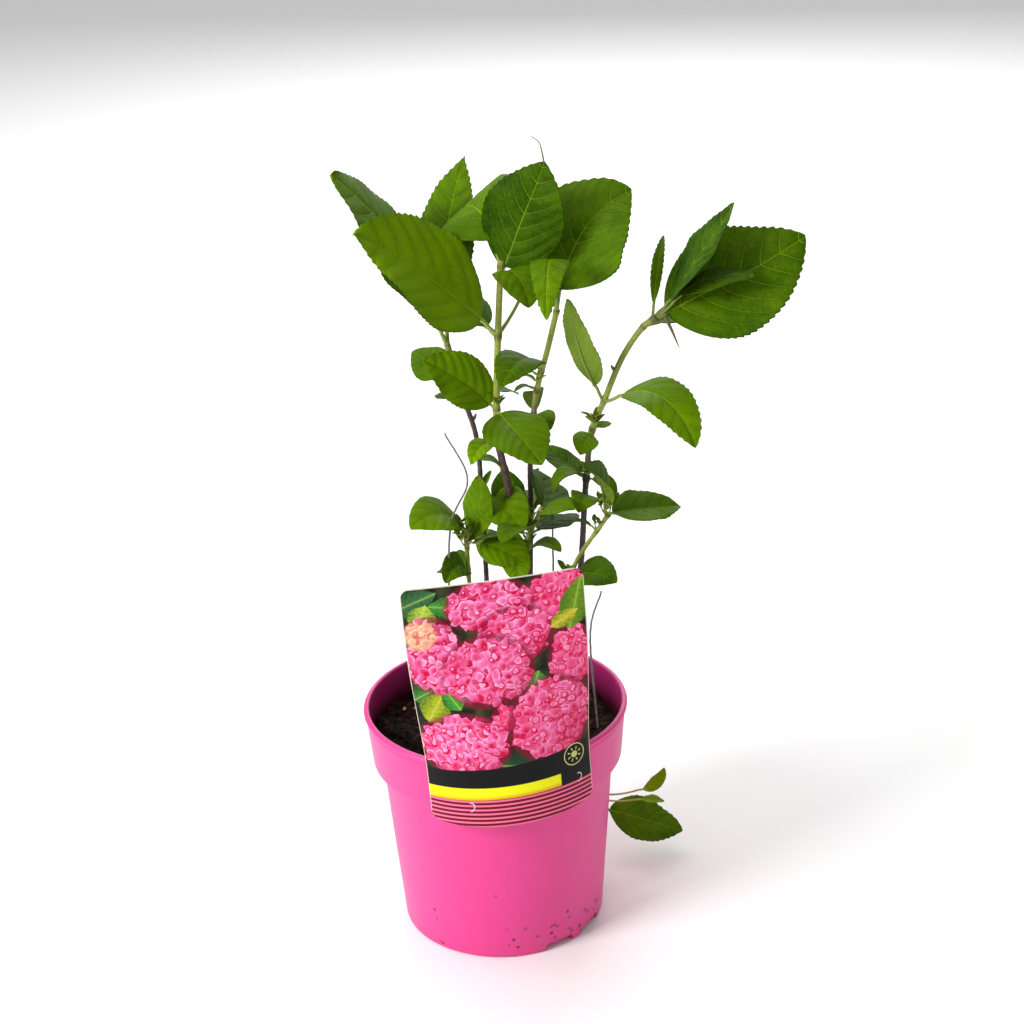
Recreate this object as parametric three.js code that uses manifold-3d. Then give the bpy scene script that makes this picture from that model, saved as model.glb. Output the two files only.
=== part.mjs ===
// Young hydrangea shrub in its nursery pot, with the card label it is sold with.
// Millimetres, +Z up, the front (label side) towards -Y.
// Origin: middle of the pot's flat foot, on the ground.
import * as THREE from 'three';
import Module from 'manifold-3d';

const wasm = await Module();
wasm.setup();

// ---- pot ----
const POT_HEIGHT = 172;
const RIM_RADIUS = 95;
const COLLAR_RADIUS = 90.3;
const COLLAR_HEIGHT = 41;
const SHOULDER_RADIUS = 83.4;
const SHOULDER_DROP = 6;
const FOOT_RADIUS = 73.5;
const FOOT_HEIGHT = 7;
const FOOT_WIDTH = 9;
const CENTRE_FOOT_RADIUS = 13;
const WALL = 1.8;
const LIP_HEIGHT = 4.5;
const LIP_WIDTH = 4;
const NOTCH_WIDTH = 22;
const POT_SIDES = 40;
const NOTCH_TURNS = [302, 328, 122, 148, 32, 58];

// ---- compost ----
const SOIL_TOP = 146;
const SOIL_RELIEF = 3;
const SOIL_SIDES = 24;
const GAP = 0.4;
const STEM_DEPTH = 12;

// ---- label card ----
const LABEL_WIDTH = 122;
const LABEL_HEIGHT = 188;
const LABEL_THICKNESS = 1;
const LABEL_TILT = 2.5;
const LABEL_TURN = 6;
const LABEL_SHIFT = 5;
const LABEL_FOOT = 125;
const LABEL_CORNER = 7;
const LABEL_BOW = 4;
const LABEL_FRONT = -97.2;

// ---- leaves ----
const BLADE_THICKNESS = 2;
const STALK_RADIUS = 1.5;
const STEM_SIDES = 7;
const STALK_SIDES = 4;

const rad = (degrees) => degrees * Math.PI / 180;
const vec = (x, y, z) => new THREE.Vector3(x, y, z);

// A closed body skinned over rings of points, each ring a closed loop of the same count.
function skin(rings) {
  const n = rings[0].length;
  const points = rings.flat();
  const faces = [];
  for (let i = 0; i + 1 < rings.length; i += 1) {
    for (let j = 0; j < n; j += 1) {
      const a = i * n + j;
      const b = i * n + (j + 1) % n;
      faces.push(a, b, b + n, a, b + n, a + n);
    }
  }
  for (const [start, turn] of [[0, true], [(rings.length - 1) * n, false]]) {
    const middle = points.length;
    const centre = vec(0, 0, 0);
    for (let j = 0; j < n; j += 1) centre.addScaledVector(points[start + j], 1 / n);
    points.push(centre);
    for (let j = 0; j < n; j += 1) {
      const a = start + j;
      const b = start + (j + 1) % n;
      faces.push(middle, turn ? b : a, turn ? a : b);
    }
  }
  const verts = new Float32Array(points.flatMap((p) => [p.x, p.y, p.z]));
  const mesh = new wasm.Mesh({ numProp: 3, vertProperties: verts, triVerts: new Uint32Array(faces) });
  const body = new wasm.Manifold(mesh);
  return body.volume() < 0 ? skin(rings.map((ring) => [...ring].reverse())) : body;
}

const join = (bodies) => bodies.reduce((whole, body) => whole.add(body));

// A straight-sided tube of changing radius along a row of points.
function limb(path, radiusAt, sides) {
  const rings = path.map((point, i) => {
    const before = path[Math.max(i - 1, 0)];
    const after = path[Math.min(i + 1, path.length - 1)];
    const along = after.clone().sub(before).normalize();
    const side = vec(1, 0, 0).addScaledVector(along, -along.x).normalize();
    const front = along.clone().cross(side);
    const r = radiusAt(i / (path.length - 1));
    return Array.from({ length: sides }, (_, k) => {
      const angle = 2 * Math.PI * k / sides;
      const rim = point.clone().addScaledVector(side, r * Math.cos(angle));
      return rim.addScaledVector(front, r * Math.sin(angle));
    });
  });
  return skin(rings);
}

// ---- stems: where each one stands at its joints, and its radius at foot and top ----
const stems = {
  middle: {
    joints: [[18, 6, 134], [17, 5, 323], [10, 2, 372], [10, 1, 394], [13, 0, 448], [17, 0, 500]],
    foot: 3.1, top: 2.1,
  },
  left: {
    joints: [[-2, 24, 134], [-3, 22, 320], [-5, 24, 367], [-14, 25, 400], [-22, 25, 436]],
    foot: 1.7, top: 1.8,
  },
  centre: {
    joints: [[24, 20, 134], [31, 18, 310], [32, 15, 351], [38, 10, 403], [46, 5, 434], [53, 0, 464]],
    foot: 1.7, top: 2,
  },
  right: {
    joints: [[52, 14, 134], [66, 12, 281], [70, 8, 336], [75, 2, 377], [83, 0, 397], [97, -5, 432],
      [111, -8, 453], [119, -10, 459]],
    foot: 2.2, top: 2,
  },
  lowLeft: { joints: [[-14, -6, 134], [-14, -5, 240], [-15, -5, 305]], foot: 1.6, top: 1.5 },
  lowMiddle: { joints: [[20, -12, 134], [23, -10, 286], [38, -5, 323]], foot: 1.6, top: 1.5 },
  lowRight: { joints: [[46, -6, 134], [56, -9, 270], [84, -12, 319]], foot: 1.6, top: 1.5 },
  trailing: {
    joints: [[36, 58, 134], [40, 86, 184], [52, 110, 160], [72, 104, 95], [80, 56, 42]],
    foot: 1.7, top: 1.4,
  },
};

// Point on a stem at part t of its height.
function stemCurve(name) {
  return new THREE.CatmullRomCurve3(stems[name].joints.map((p) => vec(...p)), false, 'centripetal');
}

// Share of the stem's length at which it passes the height z (the last passing counts).
function shareAtHeight(name, z) {
  const curve = stemCurve(name);
  const steps = 400;
  for (let i = steps; i > 0; i -= 1) {
    const high = curve.getPointAt(i / steps).z;
    const low = curve.getPointAt((i - 1) / steps).z;
    if ((high - z) * (low - z) <= 0) return (i - 0.5) / steps;
  }
  return 1;
}

function stemPiece(name, from, to, extra = 0) {
  const curve = stemCurve(name);
  const { foot, top } = stems[name];
  const steps = Math.max(2, Math.round(curve.getLength() * (to - from) / 32));
  const share = (i) => from + (to - from) * i / steps;
  const path = Array.from({ length: steps + 1 }, (_, i) => curve.getPointAt(share(i)));
  return limb(path, (t) => foot + (top - foot) * (from + (to - from) * t) + extra, STEM_SIDES);
}

// Half width of a blade along its length: rounded foot, widest before the middle, drawn-out tip.
const bladeShape = (s) => Math.sin(Math.PI * s ** 0.82) ** 0.78;

// One leaf: joint height z, compass turn, rise, stalk, blade length and width, droop, roll, fold, sway.
function leafBody(stem, [z, turn, rise, stalk, length, width, droop, roll, fold, sway = 0], extra = 0) {
  const start = stemCurve(stem).getPointAt(shareAtHeight(stem, z));
  const frame = (s) => {
    const heading = rad(turn + sway * s);
    const climb = rad(rise - droop * s);
    const reach = Math.cos(climb);
    const along = vec(Math.cos(heading) * reach, Math.sin(heading) * reach, Math.sin(climb));
    const level = vec(-Math.sin(heading), Math.cos(heading), 0);
    const upright = along.clone().cross(level);
    const cos = Math.cos(rad(roll));
    const sin = Math.sin(rad(roll));
    const side = level.clone().multiplyScalar(cos).addScaledVector(upright, sin);
    const up = upright.clone().multiplyScalar(cos).addScaledVector(level, -sin);
    return { along, side, up };
  };
  const stations = Math.min(8, Math.max(4, Math.round(length / 12)));
  const first = frame(0);
  const foot = start.clone().addScaledVector(first.along, stalk);
  const half = rad(fold) / 2;
  const point = foot.clone();
  const rings = [];
  for (let i = 0; i <= stations; i += 1) {
    const s = i / stations;
    const { along, side, up } = frame(s);
    const w = Math.max(width / 2 * bladeShape(s), 0.8) + extra;
    const t = (i === 0 || i === stations ? 0.5 : 1) * BLADE_THICKNESS / 2 + extra;
    const spread = w * Math.cos(half);
    const lift = w * Math.sin(half);
    const edge = (sign) => point.clone().addScaledVector(side, sign * spread).addScaledVector(up, lift);
    rings.push([
      edge(1).addScaledVector(up, t),
      edge(1).addScaledVector(up, -t),
      point.clone().addScaledVector(up, -t),
      edge(-1).addScaledVector(up, -t),
      edge(-1).addScaledVector(up, t),
      point.clone().addScaledVector(up, t),
    ]);
    point.addScaledVector(along, length / stations);
  }
  const blade = skin(rings);
  const bladeEnd = foot.clone().addScaledVector(first.along, Math.min(5, length / 6));
  const r = Math.min(STALK_RADIUS, 0.6 + length / 90) + extra;
  const stalkBody = limb([start, foot.clone().lerp(start, 0.5), bladeEnd], () => r, STALK_SIDES);
  return blade.add(stalkBody);
}

// ---- masses of foliage: the stretch of stem each one holds, and its leaves ----
const masses = {
  leaves_left_head: { stem: 'left', from: 412, to: 440, leaves: [
    [434, 205, 70, 30, 122, 86, 24, -28, 0, -5],
    [434, 90, 65, 34, 98, 45, 10, -10, 20, -40],
    [430, 95, 60, 16, 62, 38, 30, 0, 25],
  ] },
  leaves_left_tier: { stem: 'left', from: 378, to: 408, leaves: [
    [404, 125, 15, 16, 44, 28, 15, -35, 0, -5],
    [391, 125, 5, 12, 26, 12, 35, -20, 10],
    [396, 30, 10, 8, 40, 26, 50, 0, 20],
  ] },
  leaves_left_low: { stem: 'left', from: 308, to: 330, leaves: [
    [320, 300, 25, 6, 50, 36, 80, 20, 20, 5],
  ] },
  leaves_middle_head: { stem: 'middle', from: 430, to: 504, leaves: [
    [448, 200, 50, 17, 117, 78, 20, -50, 30, 15],
    [448, 55, 35, 50, 72, 44, 35, 0, 20, 20],
    [490, 345, 65, 6, 78, 58, -5, 80, 0],
    [496, 120, 65, 18, 80, 68, 160, -30, 5, -10],
    [490, 294, 30, 10, 44, 34, 110, 0, 20],
    [446, 135, 32, 12, 60, 40, 40, 0, 20],
  ] },
  leaves_middle_tier: { stem: 'middle', from: 360, to: 404, leaves: [
    [394, 190, 50, 6, 60, 38, 20, -60, 20, 10],
    [394, 290, -5, 6, 60, 45, 25, 10, 20, 15],
    [369, 235, 25, 10, 28, 16, 85, -15, 30],
  ] },
  leaves_middle_low: { stem: 'middle', from: 310, to: 352, leaves: [
    [348, 178, 60, 4, 26, 11, 110, 0, 20],
    [318, 100, 45, 3, 28, 24, 0, 0, 20],
  ] },
  leaves_centre_head: { stem: 'centre', from: 448, to: 468, leaves: [
    [463, 15, 80, 16, 84, 84, 60, 30, 20],
    [463, 262, 80, 20, 92, 25, 170, 0, 0],
  ] },
  leaves_centre_tier: { stem: 'centre', from: 382, to: 424, leaves: [
    [418, 245, 45, 12, 56, 32, 90, -10, 20, -10],
    [402, 95, -10, 6, 22, 16, 120, -10, 40, 10],
    [385, 290, 25, 6, 24, 18, 70, 5, 25, 5],
    [404, 220, 40, 5, 18, 6, 70, 0, 20],
  ] },
  leaves_right_head: { stem: 'right', from: 440, to: 462, leaves: [
    [459, 0, 25, 7, 105, 77, 0, 50, 10, 15],
    [459, 0, 55, 15, 76, 48, 0, 0, 20, 15],
    [458, 350, 45, 24, 54, 26, 60, 15, 0, -5],
    [457, 75, 60, 12, 55, 8, 40, 0, 30],
    [452, 25, 10, 8, 50, 34, 30, 0, 20],
  ] },
  leaves_right_tier: { stem: 'right', from: 366, to: 410, leaves: [
    [397, 215, 65, 16, 68, 34, -15, 5, 20, -10],
    [397, 315, 30, 20, 80, 38, 95, 10, 20, -10],
    [375, 250, 0, 4, 25, 18, 30, -20, 15],
    [377, 40, 5, 4, 14, 8, 20, 15, 15],
  ] },
  leaves_right_low: { stem: 'right', from: 300, to: 345, leaves: [
    [338, 135, 20, 6, 38, 24, 0, 0, 20],
    [337, 200, 50, 5, 32, 20, 150, 5, 25],
    [337, 330, 20, 5, 26, 12, 120, 20, 15],
    [323, 270, 35, 8, 28, 20, 80, -20, 25, -30],
  ] },
  leaves_low_left: { stem: 'lowLeft', from: 262, to: 308, leaves: [
    [303, 215, 65, 10, 50, 36, 100, -25, 15, 5],
    [300, 330, 5, 12, 40, 34, 50, 20, 20],
    [295, 20, 65, 8, 46, 30, -30, 15, 15, 15],
    [277, 130, 10, 3, 34, 24, 65, -25, 35],
    [264, 240, 75, 14, 34, 22, 140, -40, 40, -5],
  ] },
  leaves_low_middle: { stem: 'lowMiddle', from: 268, to: 326, leaves: [
    [320, 75, 5, 7, 48, 38, -10, 40, 50, 30],
    [320, 310, 35, 3, 34, 20, 35, 20, 20, 5],
    [304, 50, 5, 10, 48, 24, 25, 0, 0],
    [283, 125, 0, 16, 40, 22, -25, -45, 20, -5],
    [279, 260, 40, 14, 26, 20, 110, 5, 30, 25],
    [286, 100, 45, 20, 32, 20, 30, -15, 40, -30],
    [270, 120, 45, 10, 32, 22, 30, -5, 30, 10],
  ] },
  leaves_low_right: { stem: 'lowRight', from: 264, to: 322, leaves: [
    [319, 25, 0, 3, 55, 34, 15, 20, 30],
    [317, 240, 85, 5, 58, 24, 65, -55, 75],
    [306, 175, 50, 6, 16, 5, 90, 0, 20],
    [269, 320, 40, 2, 42, 32, 60, 20, 20],
  ] },
  leaves_centre_low: { stem: 'centre', from: 298, to: 320, leaves: [
    [312, 160, -10, 5, 24, 13, 10, 0, 20],
    [306, 80, 10, 14, 46, 30, 40, 0, 20],
  ] },
  leaves_trailing: { stem: 'trailing', from: 75, to: 42, leaves: [
    [42, 0, -17, 4, 60, 38, 8, 30, 10],
    [50, 345, 15, 33, 25, 12, -60, 25, 10, 40],
    [47, 345, 8, 30, 18, 12, 20, 0, 20],
    [66, 95, 30, 12, 46, 30, 50, 0, 20],
  ] },
};

// ---- thin dry stalks left from last year: joints from the compost up ----
const dryStalks = {
  dry_stalk_left: [[-30, -20, 140], [-28, -18, 285], [-24, -16, 322], [-12, -14, 350], [-26, -12, 384]],
  dry_stalk_middle: [[44, 30, 140], [46, 22, 290], [46, 20, 312]],
  dry_stalk_right: [[74, 0, 140], [70, -6, 230], [78, -8, 258]],
};
const DRY_RADIUS = 0.8;


// ---- pot, compost and label ----
function revolved(profile, sides) {
  return skin(profile.map(([r, z]) => Array.from({ length: sides }, (_, k) => {
    const angle = 2 * Math.PI * k / sides;
    const height = typeof z === 'function' ? z(r * Math.cos(angle), r * Math.sin(angle)) : z;
    return vec(r * Math.cos(angle), r * Math.sin(angle), height);
  })));
}

function block(lengthX, widthY, height, turn, x, z) {
  const ring = (h) => [[-1, -1], [1, -1], [1, 1], [-1, 1]].map(([i, j]) => (
    vec(x + i * lengthX / 2, j * widthY / 2, z + h).applyAxisAngle(vec(0, 0, 1), rad(turn))));
  return skin([ring(0), ring(height)]);
}

const SHOULDER_Z = POT_HEIGHT - COLLAR_HEIGHT;
const LIP_Z = POT_HEIGHT - LIP_HEIGHT;
const LIP_INNER = RIM_RADIUS - LIP_WIDTH;
const FLOOR_TOP = FOOT_HEIGHT + 2.2;

function potBody() {
  const outside = revolved([
    [FOOT_RADIUS - 1.2, 0],
    [FOOT_RADIUS, 1.4],
    [SHOULDER_RADIUS, SHOULDER_Z - SHOULDER_DROP],
    [COLLAR_RADIUS, SHOULDER_Z],
    [RIM_RADIUS - 1.3, LIP_Z],
    [RIM_RADIUS, LIP_Z + 1.2],
    [RIM_RADIUS, POT_HEIGHT - 1],
    [RIM_RADIUS - 1, POT_HEIGHT],
  ], POT_SIDES);
  const inside = revolved([
    [FOOT_RADIUS - WALL, FLOOR_TOP],
    [SHOULDER_RADIUS - WALL, SHOULDER_Z - SHOULDER_DROP + 0.6],
    [COLLAR_RADIUS - WALL, SHOULDER_Z + 0.6],
    [LIP_INNER, LIP_Z],
    [LIP_INNER, POT_HEIGHT - 1],
    [LIP_INNER + 1, POT_HEIGHT],
    [LIP_INNER + 1, POT_HEIGHT + 2],
  ], POT_SIDES);
  const hollowFoot = revolved([
    [FOOT_RADIUS - FOOT_WIDTH, -1],
    [FOOT_RADIUS - FOOT_WIDTH - 1, FOOT_HEIGHT],
  ], POT_SIDES);
  const centreFoot = revolved([
    [CENTRE_FOOT_RADIUS, 0],
    [CENTRE_FOOT_RADIUS + 0.5, FOOT_HEIGHT + 1],
  ], 15);
  const notch = (turn) => block(40, NOTCH_WIDTH, FOOT_HEIGHT + 0.5, turn, FOOT_RADIUS, -1.5);
  const notches = NOTCH_TURNS.map(notch);
  return outside.subtract(inside).subtract(hollowFoot).subtract(join(notches)).add(centreFoot);
}

const soilHeight = (x, y) => (
  SOIL_TOP + SOIL_RELIEF * (Math.sin(x / 11) * Math.cos(y / 13) + 0.5 * Math.sin((x + y) / 6)));

function soilBody() {
  const reach = COLLAR_RADIUS - WALL - GAP;
  return revolved([
    [FOOT_RADIUS - WALL - GAP, FLOOR_TOP + GAP],
    [SHOULDER_RADIUS - WALL - GAP, SHOULDER_Z - SHOULDER_DROP + 2],
    [reach, SHOULDER_Z + 2.2],
    ...[reach, 66, 44, 20].map((r) => [r, soilHeight]),
  ], SOIL_SIDES);
}

// The card bends round the pot at its foot and runs out almost flat at its head.
function labelBody() {
  const rows = 8;
  const columns = 8;
  const place = (u, v, depth) => {
    const bend = (1 - THREE.MathUtils.smoothstep(v, 0.15, 0.9)) / 106 + 1 / 600;
    const corner = Math.max(0, Math.abs(u) * LABEL_WIDTH / 2 - LABEL_WIDTH / 2 + LABEL_CORNER);
    const trim = LABEL_CORNER - Math.sqrt(Math.max(LABEL_CORNER ** 2 - corner ** 2, 0));
    const low = trim + LABEL_BOW * u * u;
    const height = LABEL_HEIGHT - trim - low;
    const angle = u * LABEL_WIDTH / 2 * bend;
    const reach = 1 / bend + depth;
    const x = reach * Math.sin(angle);
    const y = LABEL_FRONT + 1 / bend - reach * Math.cos(angle);
    const z = low + v * height - LABEL_HEIGHT / 2;
    const tilt = rad(LABEL_TILT);
    const across = x * Math.cos(tilt) - z * Math.sin(tilt);
    const up = z * Math.cos(tilt) + x * Math.sin(tilt);
    const swing = rad(LABEL_TURN);
    return vec(
      LABEL_SHIFT + across * Math.cos(swing),
      y + across * Math.sin(swing),
      LABEL_FOOT + LABEL_HEIGHT / 2 + up,
    );
  };
  // Columns crowd towards the rounded corners.
  const spread = (i) => Math.sin((i / columns - 0.5) * Math.PI);
  const half = LABEL_THICKNESS / 2;
  const rings = Array.from({ length: columns + 1 }, (_, i) => {
    const up = Array.from({ length: rows + 1 }, (_, j) => place(spread(i), j / rows, half));
    const down = Array.from({ length: rows + 1 }, (_, j) => place(spread(i), 1 - j / rows, -half));
    return [...up, ...down];
  });
  return skin(rings);
}

// ---- the plant put together ----
const colours = {
  plastic: 0xd83a72,
  compost: 0x3a2a20,
  card: 0xe7a0b4,
  stem: 0x6d7a34,
  wood: 0x5a3a2c,
  dry: 0x8a7f76,
  leaf: 0x5f8f1f,
};

const parts = [];
const named = (name, body, colour) => parts.push({ name, body, colour });

// Every mass of leaves is kept clear of the ones before it and of the stems.
const masks = [];
const clearOf = (body) => {
  const box = body.boundingBox();
  const near = masks.filter((mask) => {
    const other = mask.boundingBox();
    return [0, 1, 2].every((i) => box.min[i] < other.max[i] && other.min[i] < box.max[i]);
  });
  const cut = near.reduce((rest, mask) => rest.subtract(mask), body);
  return cut.decompose().reduce((big, piece) => (piece.volume() > big.volume() ? piece : big));
};

const spans = {};
for (const [name, { stem, from, to }] of Object.entries(masses)) {
  (spans[stem] ??= []).push({ name, from: shareAtHeight(stem, from), to: shareAtHeight(stem, to) });
}

const stemNodes = [];
for (const [stem, held] of Object.entries(spans)) {
  const gap = GAP / stemCurve(stem).getLength();
  held.sort((a, b) => a.from - b.from);
  let start = 0;
  held.forEach((span, i) => {
    stemNodes.push({ name: `stem_${stem}_${i + 1}`, stem, from: start, to: span.from - gap });
    start = span.to + gap;
    span.to = Math.min(span.to, 1);
  });
  if (start < 0.99) stemNodes.push({ name: `stem_${stem}_${held.length + 1}`, stem, from: start, to: 1 });
}

const stemBodies = stemNodes.map(({ name, stem, from, to }) => {
  const body = stemPiece(stem, from, to);
  return { name, stem, body, mask: stemPiece(stem, from, to, GAP) };
});
for (const { mask } of stemBodies) masks.push(mask);

for (const [name, { stem, leaves }] of Object.entries(masses)) {
  const span = spans[stem].find((entry) => entry.name === name);
  const core = stemPiece(stem, span.from, span.to);
  named(name, clearOf(join([core, ...leaves.map((leaf) => leafBody(stem, leaf))])), colours.leaf);
  const swollen = leaves.map((leaf) => leafBody(stem, leaf, GAP));
  masks.push(join([stemPiece(stem, span.from, span.to, GAP), ...swollen]));
}

for (const { name, body } of stemBodies) {
  named(name, body, name.endsWith('_1') ? colours.wood : colours.stem);
}

const dry = Object.entries(dryStalks).map(([name, joints]) => {
  const curve = new THREE.CatmullRomCurve3(joints.map((p) => vec(...p)), false, 'centripetal');
  const path = curve.getPoints(joints.length + 2);
  named(name, clearOf(limb(path, () => DRY_RADIUS, 5)), colours.dry);
  return limb(path, () => DRY_RADIUS + GAP, 5);
});

named('pot', potBody(), colours.plastic);
const sockets = stemBodies.filter(({ name }) => name.endsWith('_1')).map(({ mask }) => mask);
named('compost', soilBody().subtract(join([...sockets, ...dry])), colours.compost);
named('label_card', labelBody(), colours.card);

const plant = new THREE.Group();
plant.name = 'hydrangea_in_pot';
for (const { name, body, colour } of parts) {
  const { vertProperties, triVerts, numProp } = body.getMesh();
  const positions = new Float32Array(triVerts.length * 3);
  triVerts.forEach((v, i) => {
    for (let k = 0; k < 3; k += 1) positions[i * 3 + k] = vertProperties[v * numProp + k];
  });
  const geometry = new THREE.BufferGeometry();
  geometry.setAttribute('position', new THREE.BufferAttribute(positions, 3));
  geometry.computeVertexNormals();
  const mesh = new THREE.Mesh(geometry, new THREE.MeshStandardMaterial({ color: colour, roughness: 0.7 }));
  mesh.name = name;
  plant.add(mesh);
}

export default plant;
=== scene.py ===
"""Looks of a young hydrangea shrub in its nursery pot, with its picture label card.

Metres, +Z up, the front (label side) towards -Y, the origin under the middle of the pot.
"""
import math
import random

import bmesh
import bpy
import numpy as np
from mathutils import Matrix, Vector


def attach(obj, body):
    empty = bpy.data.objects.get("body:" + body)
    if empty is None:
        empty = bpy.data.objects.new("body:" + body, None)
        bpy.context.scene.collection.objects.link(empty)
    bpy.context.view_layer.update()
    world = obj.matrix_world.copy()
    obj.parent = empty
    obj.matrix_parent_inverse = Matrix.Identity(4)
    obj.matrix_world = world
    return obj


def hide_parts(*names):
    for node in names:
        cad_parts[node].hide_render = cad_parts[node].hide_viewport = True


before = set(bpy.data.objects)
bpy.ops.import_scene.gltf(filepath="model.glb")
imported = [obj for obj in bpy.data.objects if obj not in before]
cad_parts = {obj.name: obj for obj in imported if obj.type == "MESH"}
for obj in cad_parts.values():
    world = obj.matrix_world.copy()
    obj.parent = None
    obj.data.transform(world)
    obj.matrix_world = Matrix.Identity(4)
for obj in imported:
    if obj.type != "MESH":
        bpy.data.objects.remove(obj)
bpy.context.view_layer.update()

MM = 0.001

# ---- sizes shared with the solids ----
POT_HEIGHT = 172
RIM_RADIUS = 95
COLLAR_RADIUS = 90.3
COLLAR_HEIGHT = 41
SHOULDER_RADIUS = 83.4
SHOULDER_DROP = 6
FOOT_RADIUS = 73.5
FOOT_HEIGHT = 7
FOOT_WIDTH = 9
PAD_RADIUS = 13
WALL = 1.8
LIP_HEIGHT = 4.5
LIP_WIDTH = 4
NOTCH_WIDTH = 22
NOTCH_TURNS = [302, 328, 122, 148, 32, 58]
SOIL_TOP = 146

LABEL_WIDTH = 122
LABEL_HEIGHT = 188
LABEL_TILT = 2.5
LABEL_TURN = 6
LABEL_SHIFT = 5
LABEL_FOOT = 125
LABEL_CORNER = 7
LABEL_BOW = 4
LABEL_FRONT = -97.2

# Stems: where each stands at its joints, radius at foot and top, the height up to which it
# has turned woody, and the shade of that wood.
STEMS = {
    "middle": ([(18, 6, 134), (17, 5, 323), (10, 2, 372), (10, 1, 394), (13, 0, 448), (17, 0, 500)],
               3.1, 2.1, 376, 0.55),
    "left": ([(-2, 24, 134), (-3, 22, 320), (-5, 24, 367), (-14, 25, 400), (-22, 25, 436)],
             1.7, 1.8, 412, 0.25),
    "centre": ([(24, 20, 134), (31, 18, 310), (32, 15, 351), (38, 10, 403), (46, 5, 434), (53, 0, 464)],
               1.7, 2.0, 392, 0.2),
    "right": ([(52, 14, 134), (66, 12, 281), (70, 8, 336), (75, 2, 377), (83, 0, 397), (97, -5, 432),
               (111, -8, 453), (119, -10, 459)], 2.2, 2.0, 362, 0.1),
    "lowLeft": ([(-14, -6, 134), (-14, -5, 240), (-15, -5, 305)], 1.6, 1.5, 190, 0.5),
    "lowMiddle": ([(20, -12, 134), (23, -10, 286), (38, -5, 323)], 1.6, 1.5, 210, 0.5),
    "lowRight": ([(46, -6, 134), (56, -9, 270), (84, -12, 319)], 1.6, 1.5, 240, 0.5),
    "trailing": ([(36, 58, 134), (40, 86, 184), (52, 110, 160), (72, 104, 95), (80, 56, 42)],
                 1.7, 1.4, 0, 0.4),
}

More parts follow.
